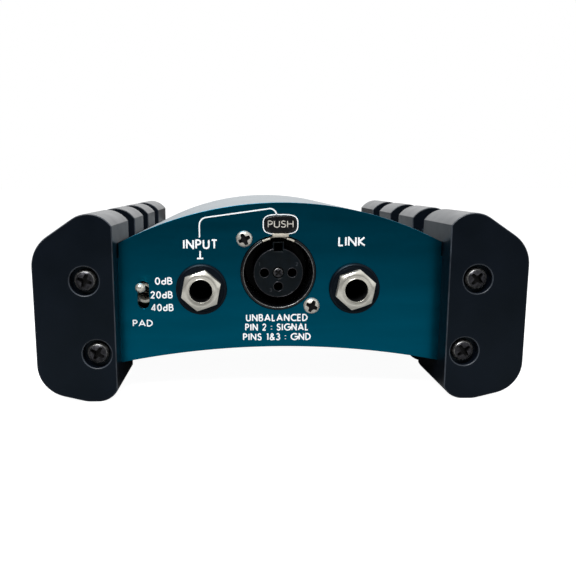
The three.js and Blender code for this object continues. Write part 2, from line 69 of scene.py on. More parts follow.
FACE = high("right_bumper").y
PANEL = high("rear_panel").y
PANEL_THICKNESS = PANEL - low("rear_panel").y
CASE_END = high("case_sleeve").y
BUMPER_INNER = low("right_bumper").x
EAR_SIDE = high("case_sleeve").x
TOP_HEIGHT = high("case_sleeve").z

# The case is a tube between two arcs, with an ear along each side that the bumper slides over.
CASE_SIDE = BUMPER_INNER - 0.3
TOP_RADIUS = 101.4
BOTTOM_RADIUS = 247.3
BOTTOM_HEIGHT = 14.3
TOP_CENTRE = TOP_HEIGHT - TOP_RADIUS
BOTTOM_CENTRE = BOTTOM_HEIGHT - BOTTOM_RADIUS
EAR_TOP = 41
CASE_WALL = 2
CASE_INSIDE = 44

# The right bumper in X and Z, as corners (x, z, fillet radius), and the floor of its grooves.
BUMPER_PROFILE = [
    (BUMPER_INNER, 3.4, 0),
    (49.3, 0, 6.4),
    (56.2, 0, 8),
    (high("right_bumper").x, 3.4, 9.5),
    (high("right_bumper").x, 44.7, 10.5),
    (52, 57.1, 7.9),
    (BUMPER_INNER, 50.6, 0),
]
GROOVE_FLOOR = [
    (50.6, 6, 1.5),
    (57.5, 6, 4),
    (64, 7.6, 5),
    (64, 41.5, 6),
    (54.6, 48, 3),
    (50.6, 46, 1.5),
]
GROOVE_CENTRE = (57, 26)
GROOVE_FILLET = [(0.84, 0.0), (0.93, 0.12), (0.985, 0.42), (1.0, 0.9)]  # (share of the way down, y)
RIBS = [(-FACE, -39), (-26, -6.5), (6.5, 26), (39, FACE)]  # along Y
RUBBER_EDGE_RADIUS = 0.3
COUNTERBORE_RADIUS = 4.15
COUNTERBORE_DEPTH = 2.5
BORE_LIFT = 0.3  # the photograph shows the bores a little higher than the CAD has them


# ---- Outlines in X and Z ----
def arc(x, z, radius, start, end, steps):
    turn = [math.radians(start + (end - start) * i / steps) for i in range(steps + 1)]
    return [(x + radius * math.cos(a), z + radius * math.sin(a)) for a in turn]


def circle(x, z, radius, steps=48):
    return arc(x, z, radius, 0, 360, steps)[:-1]


def rounded(corners, steps=6, closed=True):
    """A line through corner points (x, z, fillet radius), with each fillet drawn as an arc."""
    line, count = [], len(corners)
    for i, (x, z, radius) in enumerate(corners):
        here = Vector((x, z))
        if radius == 0 or (not closed and i in (0, count - 1)):
            line.append((x, z))
            continue
        before = (Vector(corners[i - 1][:2]) - here).normalized()
        after = (Vector(corners[(i + 1) % count][:2]) - here).normalized()
        half = before.angle(after) / 2
        start = here + before * (radius / math.tan(half))
        centre = here + (before + after).normalized() * (radius / math.sin(half))
        first = start - centre
        sweep = math.pi - 2 * half
        if before.x * after.y - before.y * after.x > 0:
            sweep = -sweep
        for k in range(steps + 1):
            spoke = Matrix.Rotation(sweep * k / steps, 2) @ first
            line.append(tuple(centre + spoke))
    return line


def rectangle(x, z, width, height, radius, steps=6):
    w, h = width / 2, height / 2
    corners = [(x - w, z - h), (x + w, z - h), (x + w, z + h), (x - w, z + h)]
    return rounded([(*corner, radius) for corner in corners], steps)


def pillow(x, z, width, height, power=3.4, steps=72):
    """A rounded rectangle whose sides bow outwards a little."""
    loop = []
    for i in range(steps):
        c, s = math.cos(2 * math.pi * i / steps), math.sin(2 * math.pi * i / steps)
        reach = (abs(c) ** power + abs(s) ** power) ** (-1 / power)
        loop.append((x + width / 2 * c * reach, z + height / 2 * s * reach))
    return loop


def area(loop):
    return sum(a[0] * b[1] - b[0] * a[1] for a, b in zip(loop, loop[1:] + loop[:1])) / 2


def inset(loop, distance):
    """A closed outline moved inwards by distance, or outwards if it is negative."""
    if distance == 0:
        return list(loop)
    side = 1 if area(loop) > 0 else -1
    moved = []
    for i, point in enumerate(loop):
        here, before, after = Vector(point), Vector(loop[i - 1]), Vector(loop[(i + 1) % len(loop)])
        a, b = (here - before).normalized(), (after - here).normalized()
        na, nb = Vector((-a.y, a.x)) * side, Vector((-b.y, b.x)) * side
        moved.append(tuple(here + (na + nb) * (distance / max(0.3, 1 + na.dot(nb)))))
    return moved


def between(first, second, share):
    """The outline that lies a share of the way from the first to the second."""
    return [tuple(Vector(a).lerp(Vector(b), share)) for a, b in zip(first, second)]


def cast(loop, target, centre):
    """Each point of loop, moved along its line to centre until it lies on the target outline."""
    found = []
    origin = Vector(centre)
    for point in loop:
        ray = Vector(point) - origin
        best = 1.0
        for a, b in zip(target, target[1:] + target[:1]):
            edge = Vector(b) - Vector(a)
            cross = ray.x * edge.y - ray.y * edge.x
            if abs(cross) < 1e-9:
                continue
            to = Vector(a) - origin
            along = (to.x * edge.y - to.y * edge.x) / cross
            across = (to.x * ray.y - to.y * ray.x) / cross
            if along > 0 and -1e-6 <= across <= 1 + 1e-6:
                best = along
        found.append(tuple(origin + ray * best))
    return found


def arc_height(radius, height, x):
    """The height at x of an arc whose crown is at height."""
    return height - radius + math.sqrt(radius**2 - x**2)


def case_outline():
    """The outer outline of the sleeve and of both panels."""
    top = math.degrees(math.asin(CASE_SIDE / TOP_RADIUS))
    bottom = math.degrees(math.asin(CASE_SIDE / BOTTOM_RADIUS))
    foot = arc_height(BOTTOM_RADIUS, BOTTOM_HEIGHT, CASE_SIDE)
    return [
        *arc(0, BOTTOM_CENTRE, BOTTOM_RADIUS, 90 + bottom, 90 - bottom, 48),
        (EAR_SIDE, foot),
        (EAR_SIDE, EAR_TOP),
        (CASE_SIDE, EAR_TOP),
        *arc(0, TOP_CENTRE, TOP_RADIUS, 90 - top, 90 + top, 72),
        (-CASE_SIDE, EAR_TOP),
        (-EAR_SIDE, EAR_TOP),
        (-EAR_SIDE, foot),
    ]


def case_inside():
    top = math.degrees(math.asin(CASE_INSIDE / (TOP_RADIUS - CASE_WALL)))
    bottom = math.degrees(math.asin(CASE_INSIDE / (BOTTOM_RADIUS + CASE_WALL)))
    return [
        *arc(0, BOTTOM_CENTRE, BOTTOM_RADIUS + CASE_WALL, 90 + bottom, 90 - bottom, 32),
        *arc(0, TOP_CENTRE, TOP_RADIUS - CASE_WALL, 90 - top, 90 + top, 48),
    ]


# ---- Solids ----
class Shape:
    """Vertices in millimetres and faces, each face with the index of its material."""

    def __init__(self):
        self.verts, self.faces, self.finishes = [], [], []

    def add(self, verts, faces, finish=0):
        base = len(self.verts)
        self.verts += [Vector(v) for v in verts]
        self.faces += [tuple(base + i for i in face) for face in faces]
        self.finishes += [finish] * len(faces)
        return self

    def join(self, other, place=Matrix()):
        base = len(self.verts)
        self.verts += [place @ v for v in other.verts]
        self.faces += [tuple(base + i for i in face) for face in other.faces]
        self.finishes += other.finishes
        return self

    def skin(self, rings, closed=True, finish=0):
        """Quads between each ring of points and the next."""
        count = len(rings[0])
        last = count if closed else count - 1
        faces = [
            (r + i, r + (i + 1) % count, r + count + (i + 1) % count, r + count + i)
            for r in range(0, count * (len(rings) - 1), count)
            for i in range(last)
        ]
        return self.add([p for ring in rings for p in ring], faces, finish)

    def cap(self, loops, height, finish=0):
        """A face inside loops[0] and outside the others. height(x, z) is its y."""
        points = [Vector(p) for loop in loops for p in loop]
        faces, start = [], 0
        for loop in loops:
            faces.append(list(range(start, start + len(loop))))
            start += len(loop)
        verts, _, made, _, _, origins = delaunay_2d_cdt(points, [], faces, 1, 1e-5)
        kept = [face for face, origin in zip(made, origins) if list(origin) == [0]]
        return self.add([(v.x, height(v.x, v.y), v.y) for v in verts], kept, finish)


def at(y, loop):
    """An outline as a ring of points at y."""
    return [(x, y, z) for x, z in loop]


def quarter(steps=4):
    """Angles from 0 to 90 degrees, for a rounded edge."""
    return [math.radians(90 * k / steps) for k in range(steps + 1)]


def end_rings(loop, y, edge, inwards):
    """Rings of a rounded edge at y; inwards is +1 if the solid lies towards +Y, else -1."""
    return [
        at(y + inwards * abs(edge) * (1 - math.cos(a)), inset(loop, edge * (1 - math.sin(a))))
        for a in (quarter() if edge else [math.pi / 2])
    ]


def rim(loop, front, back, edge, back_edge):
    """Rings down the side of an outline, with both ends rounded."""
    return end_rings(loop, front, edge, 1) + end_rings(loop, back, back_edge, -1)[::-1]


def slab(outer, holes=(), front=0.0, back=1.0, edge=0.2, back_edge=0.0, hole_edge=0.12, finish=0):
    """A plate in X and Z with rounded edges and holes, from y = front to y = back."""
    shape = Shape()
    sides = [rim(outer, front, back, edge, back_edge)]
    sides += [rim(loop, front, back, -hole_edge, 0) for loop in holes]
    for rings in sides:
        shape.skin(rings, finish=finish)
    for end, y in ((0, front), (-1, back)):
        loops = [[(p[0], p[2]) for p in rings[end]] for rings in sides]
        shape.cap(loops, lambda x, z, y=y: y, finish)
    return shape


def turned(profile, steps=64, start=0, end=360, finish=0):
    """A profile of (radius, y) points turned about Y; a part turn is closed and gets end faces."""
    shape = Shape()
    whole = end - start >= 360
    line = profile if whole else profile + profile[:1]
    count = steps if whole else steps + 1
    spokes = [math.radians(start + (end - start) * i / steps) for i in range(count)]
    rings = [[(r * math.cos(a), y, r * math.sin(a)) for a in spokes] for r, y in line]
    shape.skin(rings, closed=whole, finish=finish)
    if not whole:
        for a in (spokes[0], spokes[-1]):
            section = [(r * math.cos(a), y, r * math.sin(a)) for r, y in profile]
            shape.add(section, [tuple(range(len(profile)))], finish)
    return shape


def paint_bore_shade(shape, radius):
    """Gives finish 1 to the faces nearer to the Y axis than radius: painted shade down a bore."""
    for i, face in enumerate(shape.faces):
        if all(math.hypot(shape.verts[v].x, shape.verts[v].z) < radius for v in face):
            shape.finishes[i] = 1
    return shape


def bar(x, y, z, radius=0.3):
    """A block with rounded edges; x, y and z are (low, high)."""
    outline = rectangle((x[0] + x[1]) / 2, (z[0] + z[1]) / 2, x[1] - x[0], z[1] - z[0], radius, 3)
    return slab(outline, front=y[0], back=y[1], edge=radius * 0.8, back_edge=radius * 0.8)


def cross(arm, half, fillet):
    """The outline of a screw's cross recess."""
    tip, root = half * 0.75, half * 1.15
    one_arm = [(arm, -tip, fillet * 0.4), (arm, tip, fillet * 0.4), (root, root, fillet)]
    corners = []
    for c, s in ((1, 0), (0, 1), (-1, 0), (0, -1)):
        corners += [(x * c - z * s, x * s + z * c, radius) for x, z, radius in one_arm]
    return rounded(corners, 4)


def screw_head(radius, height, turn=0, arm=0.66, half=0.17):
    """A pan head seated at y = 0: finish 0 all over, 1 in the recess as painted shade, 2 on the lighter
    shoulder.
    """

    def dome(x, z):
        share = min(1.0, math.hypot(x, z) / radius)
        return -height * (1 - share**3.2) ** (1 / 2.4)

    shape = Shape()
    shares = [1, 0.996, 0.985, 0.965, 0.93, 0.89, 0.85, 0.82, 0.79]
    loops = [circle(0, 0, radius * s, 48) for s in shares]
    rings = [at(0.0, loops[0])] + [[(x, dome(x, z), z) for x, z in loop] for loop in loops]
    shape.skin(rings[:4])
    shape.skin(rings[3:], finish=2)
    recess = cross(arm * radius, half * radius, 0.1 * radius)
    shape.cap([loops[-1], recess], dome)
    bottom = -height * 0.25
    mouth = [(x, dome(x, z), z) for x, z in recess]
    floor = [(x * 0.8, z * 0.8) for x, z in recess]
    taper = at(-height * 0.8, [(x * 0.95, z * 0.95) for x, z in recess])
    # The recess walls and floor take finish 1, painted shade.
    shape.skin([mouth, taper, at(bottom, floor)], finish=1)
    shape.cap([floor], lambda x, z: bottom, 1)
    shape.cap([loops[0]], lambda x, z: 0.0)
    return Shape().join(shape, Matrix.Rotation(math.radians(turn), 4, "Y"))


# ---- Pieces ----
INPUT_SIDE = Matrix.Translation((0, -PANEL, 0))
OUTPUT_SIDE = Matrix.Translation((0, PANEL, 0)) @ Matrix.Rotation(math.pi, 4, "Z")


def spot(node, face=None):
    """A part's place on its panel: the node's centre, with y = 0 on the panel's outer face."""
    centre = middle(node)
    side = 1 if centre.y > 0 else -1
    place = Matrix.Translation((centre.x, side * (PANEL if face is None else face), centre.z))
    return place @ Matrix.Rotation(math.pi if side > 0 else 0, 4, "Z")


def soften(obj, width, angle):
    """Bevels edges sharper than angle, and returns the modifier."""
    bevel = obj.modifiers.new("Bevel", "BEVEL")
    bevel.width = width * MM
    bevel.segments = 2
    bevel.limit_method = "ANGLE"
    bevel.angle_limit = math.radians(angle)
    return bevel


def piece(
    name, shape, finishes, nodes=(), place=Matrix(), body="chassis", sharp=38, bevel=0.0
):
    """Makes a visible piece of a shape and rides it on its body, in place of its CAD nodes."""
    mesh = bpy.data.meshes.new(name)
    mesh.from_pydata([(place @ v) * MM for v in shape.verts], [], shape.faces)
    for look in finishes if isinstance(finishes, list) else [finishes]:
        mesh.materials.append(look)
    mesh.polygons.foreach_set("material_index", shape.finishes)
    clean = bmesh.new()
    clean.from_mesh(mesh)
    bmesh.ops.remove_doubles(clean, verts=clean.verts, dist=2e-4 * MM)
    bmesh.ops.dissolve_degenerate(clean, edges=clean.edges, dist=1e-4 * MM)
    bmesh.ops.recalc_face_normals(clean, faces=clean.faces)
    clean.to_mesh(mesh)
    clean.free()
    mesh.polygons.foreach_set("use_smooth", [True] * len(mesh.polygons))
    mesh.set_sharp_from_angle(angle=math.radians(sharp))
    obj = bpy.data.objects.new(name, mesh)
    bpy.context.scene.collection.objects.link(obj)
    if bevel:
        soften(obj, bevel, sharp)
    weigh = obj.modifiers.new("Weighted normals", "WEIGHTED_NORMAL")
    weigh.keep_sharp = True
    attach(obj, body)
    if nodes:
        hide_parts(*([nodes] if isinstance(nodes, str) else nodes))
    return obj


# ---- Finishes ----
def srgb(red, green, blue):
    def linear(v):
        v /= 255
        return v / 12.92 if v <= 0.04045 else ((v + 0.055) / 1.055) ** 2.4

    return (linear(red), linear(green), linear(blue), 1)


def map_range(tree, value, source, target, smooth=False):
    """Maps value from the pair source to the pair target."""
    node = tree.nodes.new("ShaderNodeMapRange")
    if smooth:
        node.interpolation_type = "SMOOTHSTEP"
    node.inputs["From Min"].default_value, node.inputs["From Max"].default_value = source
    node.inputs["To Min"].default_value, node.inputs["To Max"].default_value = target
    tree.links.new(value, node.inputs["Value"])
    return node.outputs["Result"]


def finish(
    name,
    dark,
    light,
    rough,
    patch=9,
    stretch=(1, 1, 1),
    grain=0.4,
    height=0.004,
    metal=0.0,
    specular=0.5,
    coat=0.0,
    tint=(1, 1, 1, 1),
):
    """A procedural finish.

    Its colour runs from dark to light and its roughness over the pair rough, in patches that are
    patch mm wide. Its grain is grain mm wide and stands height mm high.
    """
    made = bpy.data.materials.new(name)
    made.use_nodes = True
    tree = made.node_tree
    shader = tree.nodes["Principled BSDF"]
    shader.inputs["Metallic"].default_value = metal
    shader.inputs["Specular IOR Level"].default_value = specular
    shader.inputs["Specular Tint"].default_value = tint
    shader.inputs["Coat Weight"].default_value = coat
    shader.inputs["Coat Roughness"].default_value = 0.12
    coords = tree.nodes.new("ShaderNodeTexCoord")

    def noise(size, levels, seed):
        mapping = tree.nodes.new("ShaderNodeMapping")
        mapping.inputs["Location"].default_value = (seed, seed * 0.7, seed * 0.3)
        mapping.inputs["Scale"].default_value = [s / (size * MM) for s in stretch]
        texture = tree.nodes.new("ShaderNodeTexNoise")
        texture.inputs["Scale"].default_value = 1
        texture.inputs["Detail"].default_value = levels
        tree.links.new(coords.outputs["Object"], mapping.inputs["Vector"])
        tree.links.new(mapping.outputs["Vector"], texture.inputs["Vector"])
        return texture.outputs["Fac"]

    patches = noise(patch, levels=5.0, seed=3)
    colour = tree.nodes.new("ShaderNodeValToRGB")
    for end, position, shade in ((0, 0.32, dark), (1, 0.68, light)):
        colour.color_ramp.elements[end].position = position
        colour.color_ramp.elements[end].color = shade
    tree.links.new(patches, colour.inputs["Fac"])
    tree.links.new(colour.outputs["Color"], shader.inputs["Base Color"])

    gloss = map_range(tree, noise(patch * 0.6, levels=3.0, seed=11), (0.3, 0.7), rough)
    tree.links.new(gloss, shader.inputs["Roughness"])

    bump = tree.nodes.new("ShaderNodeBump")
    bump.inputs["Strength"].default_value = 1
    bump.inputs["Distance"].default_value = height * MM
    tree.links.new(noise(grain, levels=2.0, seed=23), bump.inputs["Height"])
    tree.links.new(bump.outputs["Normal"], shader.inputs["Normal"])
    return made


RUBBER = finish(
    "bumper_rubber", srgb(5, 8, 13), srgb(9, 13, 20), (0.3, 0.38),
    patch=16, grain=0.35, height=0.005, specular=0.17, tint=(0.6, 0.82, 1.0, 1),
)
# Lighter rubber for the rounded rib edges and the bore rims: a painted highlight along those edges.
RUBBER_EDGE_HIGHLIGHT = finish(
    "rubber_edge_painted_highlight", srgb(26, 31, 38), srgb(52, 58, 66), (0.36, 0.48),
    patch=4, grain=0.3, height=0.006, specular=0.4,
)
PETROL = finish(
    "petrol_anodised", srgb(0, 86, 110), srgb(0, 93, 119), (0.28, 0.32),
    patch=5, stretch=(0.12, 1, 1), grain=0.25, height=0.001, metal=1.0,
)
CASE_PAINT = finish(
    "case_paint", srgb(0, 46, 61), srgb(1, 50, 66), (0.29, 0.32),
    patch=14, stretch=(1, 0.3, 1), grain=0.4, height=0.0003, specular=0.5,
)
BLACK_PLASTIC = finish(
    "black_plastic", srgb(20, 23, 28), srgb(33, 38, 45), (0.34, 0.48),
    patch=3, grain=0.2, height=0.006,
)
BLACK_GLOSS = finish(
    "black_polished_plastic", srgb(7, 8, 10), srgb(13, 15, 18), (0.2, 0.3),
    patch=4, grain=0.3, height=0.002, specular=0.35, coat=0.1,
)
BLACK_STEEL = finish(
    "blackened_steel", srgb(38, 38, 41), srgb(66, 66, 70), (0.25, 0.42),
    patch=0.9, grain=0.15, height=0.004, metal=0.85,
)
NICKEL = finish(
    "nickel_plate", srgb(196, 194, 184), srgb(216, 214, 204), (0.14, 0.24),
    patch=1.6, stretch=(0.3, 1, 1), grain=0.12, height=0.0012, metal=0.7,
)
BRIGHT_STEEL = finish(
    "bright_steel", srgb(186, 183, 174), srgb(212, 209, 200), (0.2, 0.34),
    patch=1.1, grain=0.15, height=0.002, metal=0.65,
)
# A darker copy of the gold plate for the sockets deep in their holes: painted shade.
SHADED_GOLD = finish(
    "socket_gold_painted_shade", srgb(60, 46, 22), srgb(84, 66, 34), (0.4, 0.5),
    patch=1.5, grain=0.2, height=0.001, metal=1.0,
)
GOLD = finish(
    "gold_plate", srgb(196, 152, 66), srgb(222, 180, 92), (0.18, 0.3),
    patch=1.5, grain=0.2, height=0.001, metal=1.0,
)
# Near-black finish for screw recesses and jack bores: painted shade.
RECESS_SHADE = finish(
    "painted_recess_shade", srgb(4, 4, 5), srgb(10, 10, 12), (0.5, 0.65),
    patch=0.9, grain=0.15, height=0.003, specular=0.25,
)
# Worn steel for the collar's lip bead and the screw shoulders: partly wear, partly a painted highlight on
# those edges.
WORN_STEEL_AND_HIGHLIGHT = finish(
    "worn_steel_and_painted_highlight", srgb(96, 96, 96), srgb(160, 160, 158), (0.25, 0.45),
    patch=0.7, grain=0.15, height=0.004, metal=0.9,
)
INSERT = finish(
    "contact_block_plastic", srgb(3, 8, 11), srgb(6, 13, 18), (0.32, 0.44),
    patch=3, grain=0.2, height=0.005, specular=0.15,
)
LATCH_STEEL = finish(
    "latch_steel", srgb(176, 170, 156), srgb(206, 200, 186), (0.3, 0.45),
    patch=1.1, grain=0.15, height=0.002, metal=0.45,
)
WORN_INK = finish(
    "worn_ink", srgb(146, 143, 136), srgb(196, 192, 184), (0.5, 0.62),
    patch=0.7, grain=0.15, height=0.003, specular=0.2,
)
INK = finish(
    "white_ink", srgb(226, 230, 232), srgb(240, 243, 245), (0.5, 0.62),
    patch=1.2, grain=0.15, height=0.003, specular=0.3,
)
RED_LENS = finish(
    "red_lens", srgb(120, 8, 8), srgb(170, 16, 14), (0.08, 0.14),
    patch=1.5, grain=0.4, height=0.001, coat=0.5,
)
BATTERY_SKIN = finish(
    "battery_can", srgb(52, 56, 64), srgb(74, 79, 88), (0.26, 0.36),
    patch=6, grain=0.3, height=0.002, metal=0.55,
)
BOARD = finish(
    "circuit_board", srgb(14, 62, 34), srgb(22, 86, 46), (0.3, 0.42),
    patch=2.5, grain=0.5, height=0.01, coat=0.2,
)
CORE = finish(
    "core_laminations", srgb(84, 86, 90), srgb(120, 122, 126), (0.36, 0.5),
    patch=0.8, stretch=(0.1, 1, 0.1), grain=0.35, height=0.02, metal=0.8,
)
COPPER = finish(
    "copper_wire", srgb(140, 70, 30), srgb(190, 104, 52), (0.24, 0.38),
    patch=0.9, stretch=(0.15, 0.15, 1), grain=0.4, height=0.05, metal=0.8,
)
SLEEVE = finish(
    "capacitor_sleeve", srgb(18, 26, 58), srgb(30, 42, 84), (0.2, 0.3),
    patch=3, grain=0.4, height=0.004,
)
SCREW_LOOK = [BLACK_STEEL, RECESS_SHADE, WORN_STEEL_AND_HIGHLIGHT]


# ---- Bumpers ----
def bumper():
    """The right bumper: four ribs with rounded edges, three grooves and two bores at each end."""
    rib = rounded(BUMPER_PROFILE, 10)
    floor = cast(rib, rounded(GROOVE_FLOOR, 6), GROOVE_CENTRE)
    edge = RUBBER_EDGE_RADIUS
    foot = inset(rib, edge)
    shape = Shape()
    rings, highlit_bands = [], []
    for i, (start, end) in enumerate(RIBS):
        bands = len(quarter()) - 1
        for side in (end_rings(rib, start, edge, 1), end_rings(rib, end, edge, -1)[::-1]):
            highlit_bands += range(len(rings), len(rings) + bands)
            rings += side
        if i + 1 < len(RIBS):
            fall = [(step, between(foot, floor, share)) for share, step in GROOVE_FILLET]
            rings += [at(end + step, loop) for step, loop in fall]
            rings += [at(RIBS[i + 1][0] - step, loop) for step, loop in reversed(fall)]
    shape.skin(rings)
    count = len(rib)
    # The rounded rib edges take finish 1, a painted highlight.
    for band in highlit_bands:
        shape.finishes[band * count : (band + 1) * count] = [1] * count

    screws = [middle(f"front_bumper_screw_{i}") for i in (3, 4)]
    bores = [(screw.x, screw.z + BORE_LIFT) for screw in screws]
    for direction in (-1, 1):
        face = direction * FACE
        deep = face - direction * COUNTERBORE_DEPTH
        mouths = [circle(x, z, COUNTERBORE_RADIUS + edge) for x, z in bores]
        shape.cap([foot, *mouths], lambda x, z, y=face: y)
        for x, z in bores:
            rings = []
            for a in quarter():
                radius = COUNTERBORE_RADIUS + edge * (1 - math.sin(a))
                rings.append(at(face - direction * edge * (1 - math.cos(a)), circle(x, z, radius)))
            # The rounded rim of the bore takes finish 1, a painted highlight.
            shape.skin(rings, finish=1)
            wall = [at(deep, circle(x, z, radius)) for radius in (COUNTERBORE_RADIUS, 1.0)]
            shape.skin([rings[-1], *wall, at(deep, [(x, z)] * len(rings[-1]))])
    return shape


right = bumper()
mirror = Matrix.Scale(-1, 4, (1, 0, 0))
for node, place in (("right_bumper", Matrix()), ("left_bumper", mirror)):
    piece(f"{node}_moulding", right, [RUBBER, RUBBER_EDGE_HIGHLIGHT], node, place)

for end in ("front", "rear"):
    for i in range(1, 5):
        node = f"{end}_bumper_screw_{i}"
        seat = Matrix.Translation((0, COUNTERBORE_DEPTH - 0.1, BORE_LIFT))
        head = Shape().join(screw_head(3.2, 2, turn=8 + 11 * i), seat)
        piece(f"{node}_head", head, SCREW_LOOK, node, spot(node, FACE))


# ---- Case and panels ----
sleeve = slab(case_outline(), [case_inside()], -CASE_END, CASE_END, back_edge=0.2, hole_edge=0.1)
piece("case_extrusion", sleeve, CASE_PAINT, "case_sleeve")

XLR = middle("input_xlr_insert")
TAB = middle("input_xlr_push_tab")
TAB_SIZE = (9.25, 4.75)
TONGUE = 2.35  # half the width of the latch's tongue
TONGUE_X = TAB.x - XLR.x
NOTCH = TONGUE + 0.2
JACK_HOLE = 4.8
OUT_XLR_HOLE = 11.2
LAMP_HOLE = 2.7
DRAWER_OPENING = (32, 20.8)
JACKS = [middle("input_jack_bush"), middle("link_jack_bush")]
PAD = middle("pad_switch_body")
OUT_XLR = middle("output_xlr_insert")
GROUND = middle("ground_switch_body")
POWER = middle("power_switch_body")
LAMP = middle("power_led")
DRAWER = middle("battery_drawer")


def toggle_slot(x, z):
    """The upright slot in a panel for a switch lever."""
    return rectangle(x, z, 3.4, 8.2, 1.69, 8)


def xlr_opening(x, z, radius=11.1, top=11.9):
    """The round hole of the female connector, with a narrow notch upwards for its latch."""
    left, right = TONGUE_X - NOTCH, TONGUE_X + NOTCH
    start, end = (math.degrees(math.acos(side / radius)) for side in (left, right))
    return arc(x, z, radius, start, 360 + end, 96) + [(x + right, z + top), (x + left, z + top)]


front_holes = [
    xlr_opening(XLR.x, XLR.z),
    pillow(TAB.x, TAB.z, TAB_SIZE[0] + 0.3, TAB_SIZE[1] + 0.25),
    toggle_slot(PAD.x, PAD.z),
    *[circle(c.x, c.z, JACK_HOLE) for c in JACKS],
]
panel = slab(case_outline(), front_holes, 0, PANEL_THICKNESS, edge=0.12, hole_edge=0.06)
piece("input_panel_plate", panel, PETROL, "front_panel", INPUT_SIDE)

rear_holes = [
    circle(-OUT_XLR.x, OUT_XLR.z, OUT_XLR_HOLE, 64),
    toggle_slot(-GROUND.x, GROUND.z),
    toggle_slot(-POWER.x, POWER.z),
    circle(-LAMP.x, LAMP.z, LAMP_HOLE),
    rectangle(-DRAWER.x, DRAWER.z, *DRAWER_OPENING, 0.5, 3),
]
panel = slab(case_outline(), rear_holes, 0, PANEL_THICKNESS, edge=0.12, hole_edge=0.08)
piece("output_panel_plate", panel, PETROL, "rear_panel", OUTPUT_SIDE)


# ---- Input connector ----
COLLAR_OUTER = 10.9
FLANGE_HOLE = circle(0, 0, 10.8, 64)
FLANGE = (1.8, 4.3)  # front and back of a connector's flange, behind the panel


def tube(inner, outer, front, back):
    """The closed profile of a plain tube."""
    return [(inner, front), (outer, front), (outer, back), (inner, back), (inner, front)]


def bead(radius, y, thickness, steps):
    """The profile of a thin ring of half-round section, proud of the face at y."""
    return arc(radius, y, thickness, 180, 360, steps)


def collar(bore, front, length, start=0, end=360, edge=0.3):
    """A tube round the Y axis with a rounded front edge."""
    fall = [(edge * (1 - math.sin(a)), front + edge * (1 - math.cos(a))) for a in quarter()]
    profile = [(bore, length)] + [(bore + step, y) for step, y in reversed(fall)]
    profile += [(COLLAR_OUTER - step, y) for step, y in fall] + [(COLLAR_OUTER, length)]
    return turned(profile if end - start < 360 else profile + profile[:1], 96, start, end)


# The collar of the female connector stops on each side of its latch, which is at the top.
latch_gap = math.degrees(math.asin(4.9 / 10.4))
wrap = (90 + latch_gap, 450 - latch_gap)
in_xlr = spot("input_xlr_insert")
housing = collar(10.1, -0.7, 17, *wrap)
# A thin bead at the collar's mouth in worn steel: a worn edge with a painted highlight line round the
# mouth.
highlight_lip = [(10.14, -0.5), *bead(10.25, -0.85, 0.11, 8), (10.36, -0.5)]
housing.join(turned(highlight_lip, 96, *wrap, finish=1))
housing.join(slab(rectangle(0, 1.3, 26, 29.8, 2), [FLANGE_HOLE], *FLANGE))
housing.join(turned(tube(10.05, 12, FLANGE[1], 19)))
piece(
    "input_xlr_collar", housing, [BLACK_GLOSS, WORN_STEEL_AND_HIGHLIGHT], "input_xlr_housing", in_xlr,
)

CONTACTS = [middle(f"input_xlr_contact_{i}") - XLR for i in (1, 2, 3)]
INSERT_FACE = low("input_xlr_insert").y + PANEL
INSERT_RADIUS = 7.2
INSERT_STEP = 14.5  # where the contact block widens to its base
SCREW_SEAT = INSERT_FACE + 0.95
KEY = 1.25  # half the width of the keyway
key = math.degrees(math.asin(KEY / INSERT_RADIUS))
insert_outline = arc(0, 0, INSERT_RADIUS, 90 + key, 450 - key, 72) + [(KEY, 6.3), (-KEY, 6.3)]
contact_holes = [circle(c.x, c.z, 1.3, 32) for c in CONTACTS]
face_holes = [*contact_holes, circle(0, 0, 1.7, 32)]
insert = slab(insert_outline, face_holes, INSERT_FACE, INSERT_STEP, edge=0.3, hole_edge=0.25)
insert.join(slab(circle(0, 0, 9.6, 64), contact_holes, INSERT_STEP, 19, edge=0.1))
insert.join(turned([(0, SCREW_SEAT), (1.75, SCREW_SEAT), (1.75, 3), (0, 3)], 32))
# Thin beads in lighter blackened steel round the block's rim and its contact holes: a painted highlight
# line along those edges.
rim_highlight_bead = bead(INSERT_RADIUS - 0.12, INSERT_FACE + 0.12, 0.12, 8)
insert.join(turned(rim_highlight_bead + rim_highlight_bead[:1], 96, 90 + key + 1, 450 - key - 1, finish=1))
hole_highlight_bead = bead(1.42, INSERT_FACE + 0.03, 0.11, 6)
for c in CONTACTS:
    insert.join(turned(hole_highlight_bead + hole_highlight_bead[:1], 40, finish=1), Matrix.Translation((c.x, 0, c.z)))
for side in (-1, 1):
    across = sorted((side * KEY, side * (KEY + 0.35)))
    insert.join(bar(across, (INSERT_FACE + 0.1, INSERT_STEP), (6.6, 9.0), 0.12))
insert.join(bar((-KEY, KEY), (INSERT_FACE + 0.4, INSERT_STEP), (8.7, 9.0), 0.12))
piece(
    "input_xlr_contact_block", insert, [INSERT, BLACK_STEEL], "input_xlr_insert", in_xlr,
)
spring = [(0.7, 7), (1.05, 7.3), (1.05, 20), (0.5, 20), (0.5, 24), (0, 24)]
socket = turned(spring + [(0, 12), (0.7, 12), (0.7, 7)], 32)
for i in (1, 2, 3):
    node = f"input_xlr_contact_{i}"
    piece(f"{node}_socket", socket, SHADED_GOLD, node, spot(node))
head = Shape().join(screw_head(1.5, 0.75, turn=40), Matrix.Translation((0, SCREW_SEAT, 0)))
node = "input_xlr_insert_screw"
piece("input_xlr_centre_screw", head, SCREW_LOOK, node, in_xlr)

tab = slab(pillow(0, 0, *TAB_SIZE), front=-0.4, back=4.5, edge=0.2)
piece(
    "input_xlr_tab", tab, BLACK_GLOSS, "input_xlr_push_tab", spot("input_xlr_push_tab"),
    "xlr_latch",
)

